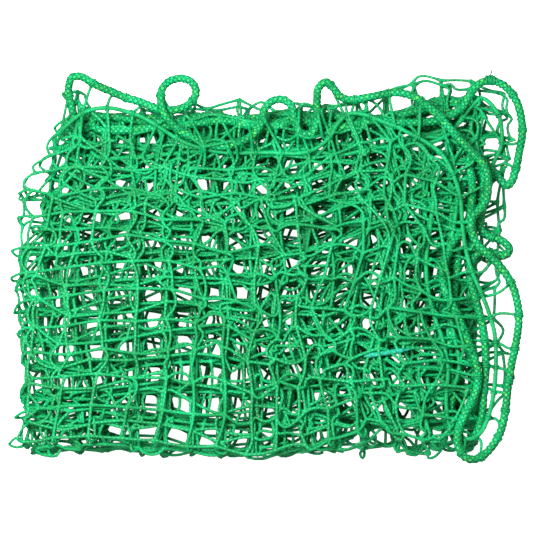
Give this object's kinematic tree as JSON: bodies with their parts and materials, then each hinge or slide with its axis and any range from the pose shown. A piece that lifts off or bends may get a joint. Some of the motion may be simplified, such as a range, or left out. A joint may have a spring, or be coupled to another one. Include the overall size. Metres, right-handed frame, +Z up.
{
  "type": "cargo climbing net",
  "caption": "knotless square-mesh cargo and climbing net of green braided twine with a thicker braided border rope, folded flat into a rectangular bundle",
  "frame": {"origin": "centre of the bounding box's lower face, on the surface that the folded net lies on", "axes": "+X along the long side of the folded pack, towards the side where the short rope edges hang together; +Y along its short side, towards the side where the long rope edges lie; +Z up, through the thickness of the pack"},
  "size_m": [0.5432, 0.4174, 0.0807],
  "materials": {
    "netting_twine": "satin braided polypropylene twine",
    "border_rope": "satin diamond-braided rope",
    "selvedge_cord": "smooth satin cord",
    "twine_sleeve": "glossy shrunk sleeve"
  },
  "bodies": {
    "root": {"netting_fold_1": "netting_twine", "netting_fold_2": "netting_twine", "netting_fold_3": "netting_twine", "netting_fold_4": "netting_twine", "netting_fold_5": "netting_twine", "netting_fold_6": "netting_twine", "netting_fold_7": "netting_twine", "netting_fold_8": "netting_twine", "border_rope_long_edge_1": "border_rope", "border_rope_short_edge_1": "border_rope", "border_rope_long_edge_2": "border_rope", "border_rope_short_edge_2": "border_rope", "selvedge_cord_long_edge_1": "selvedge_cord", "selvedge_cord_short_edge_1": "selvedge_cord", "selvedge_cord_long_edge_2": "selvedge_cord", "selvedge_cord_short_edge_2": "selvedge_cord", "corner_seizing_1": "border_rope", "corner_seizing_2": "border_rope", "corner_seizing_3": "border_rope", "corner_seizing_4": "border_rope", "twine_end_sleeve": "twine_sleeve"}
  },
  "joints": []
}
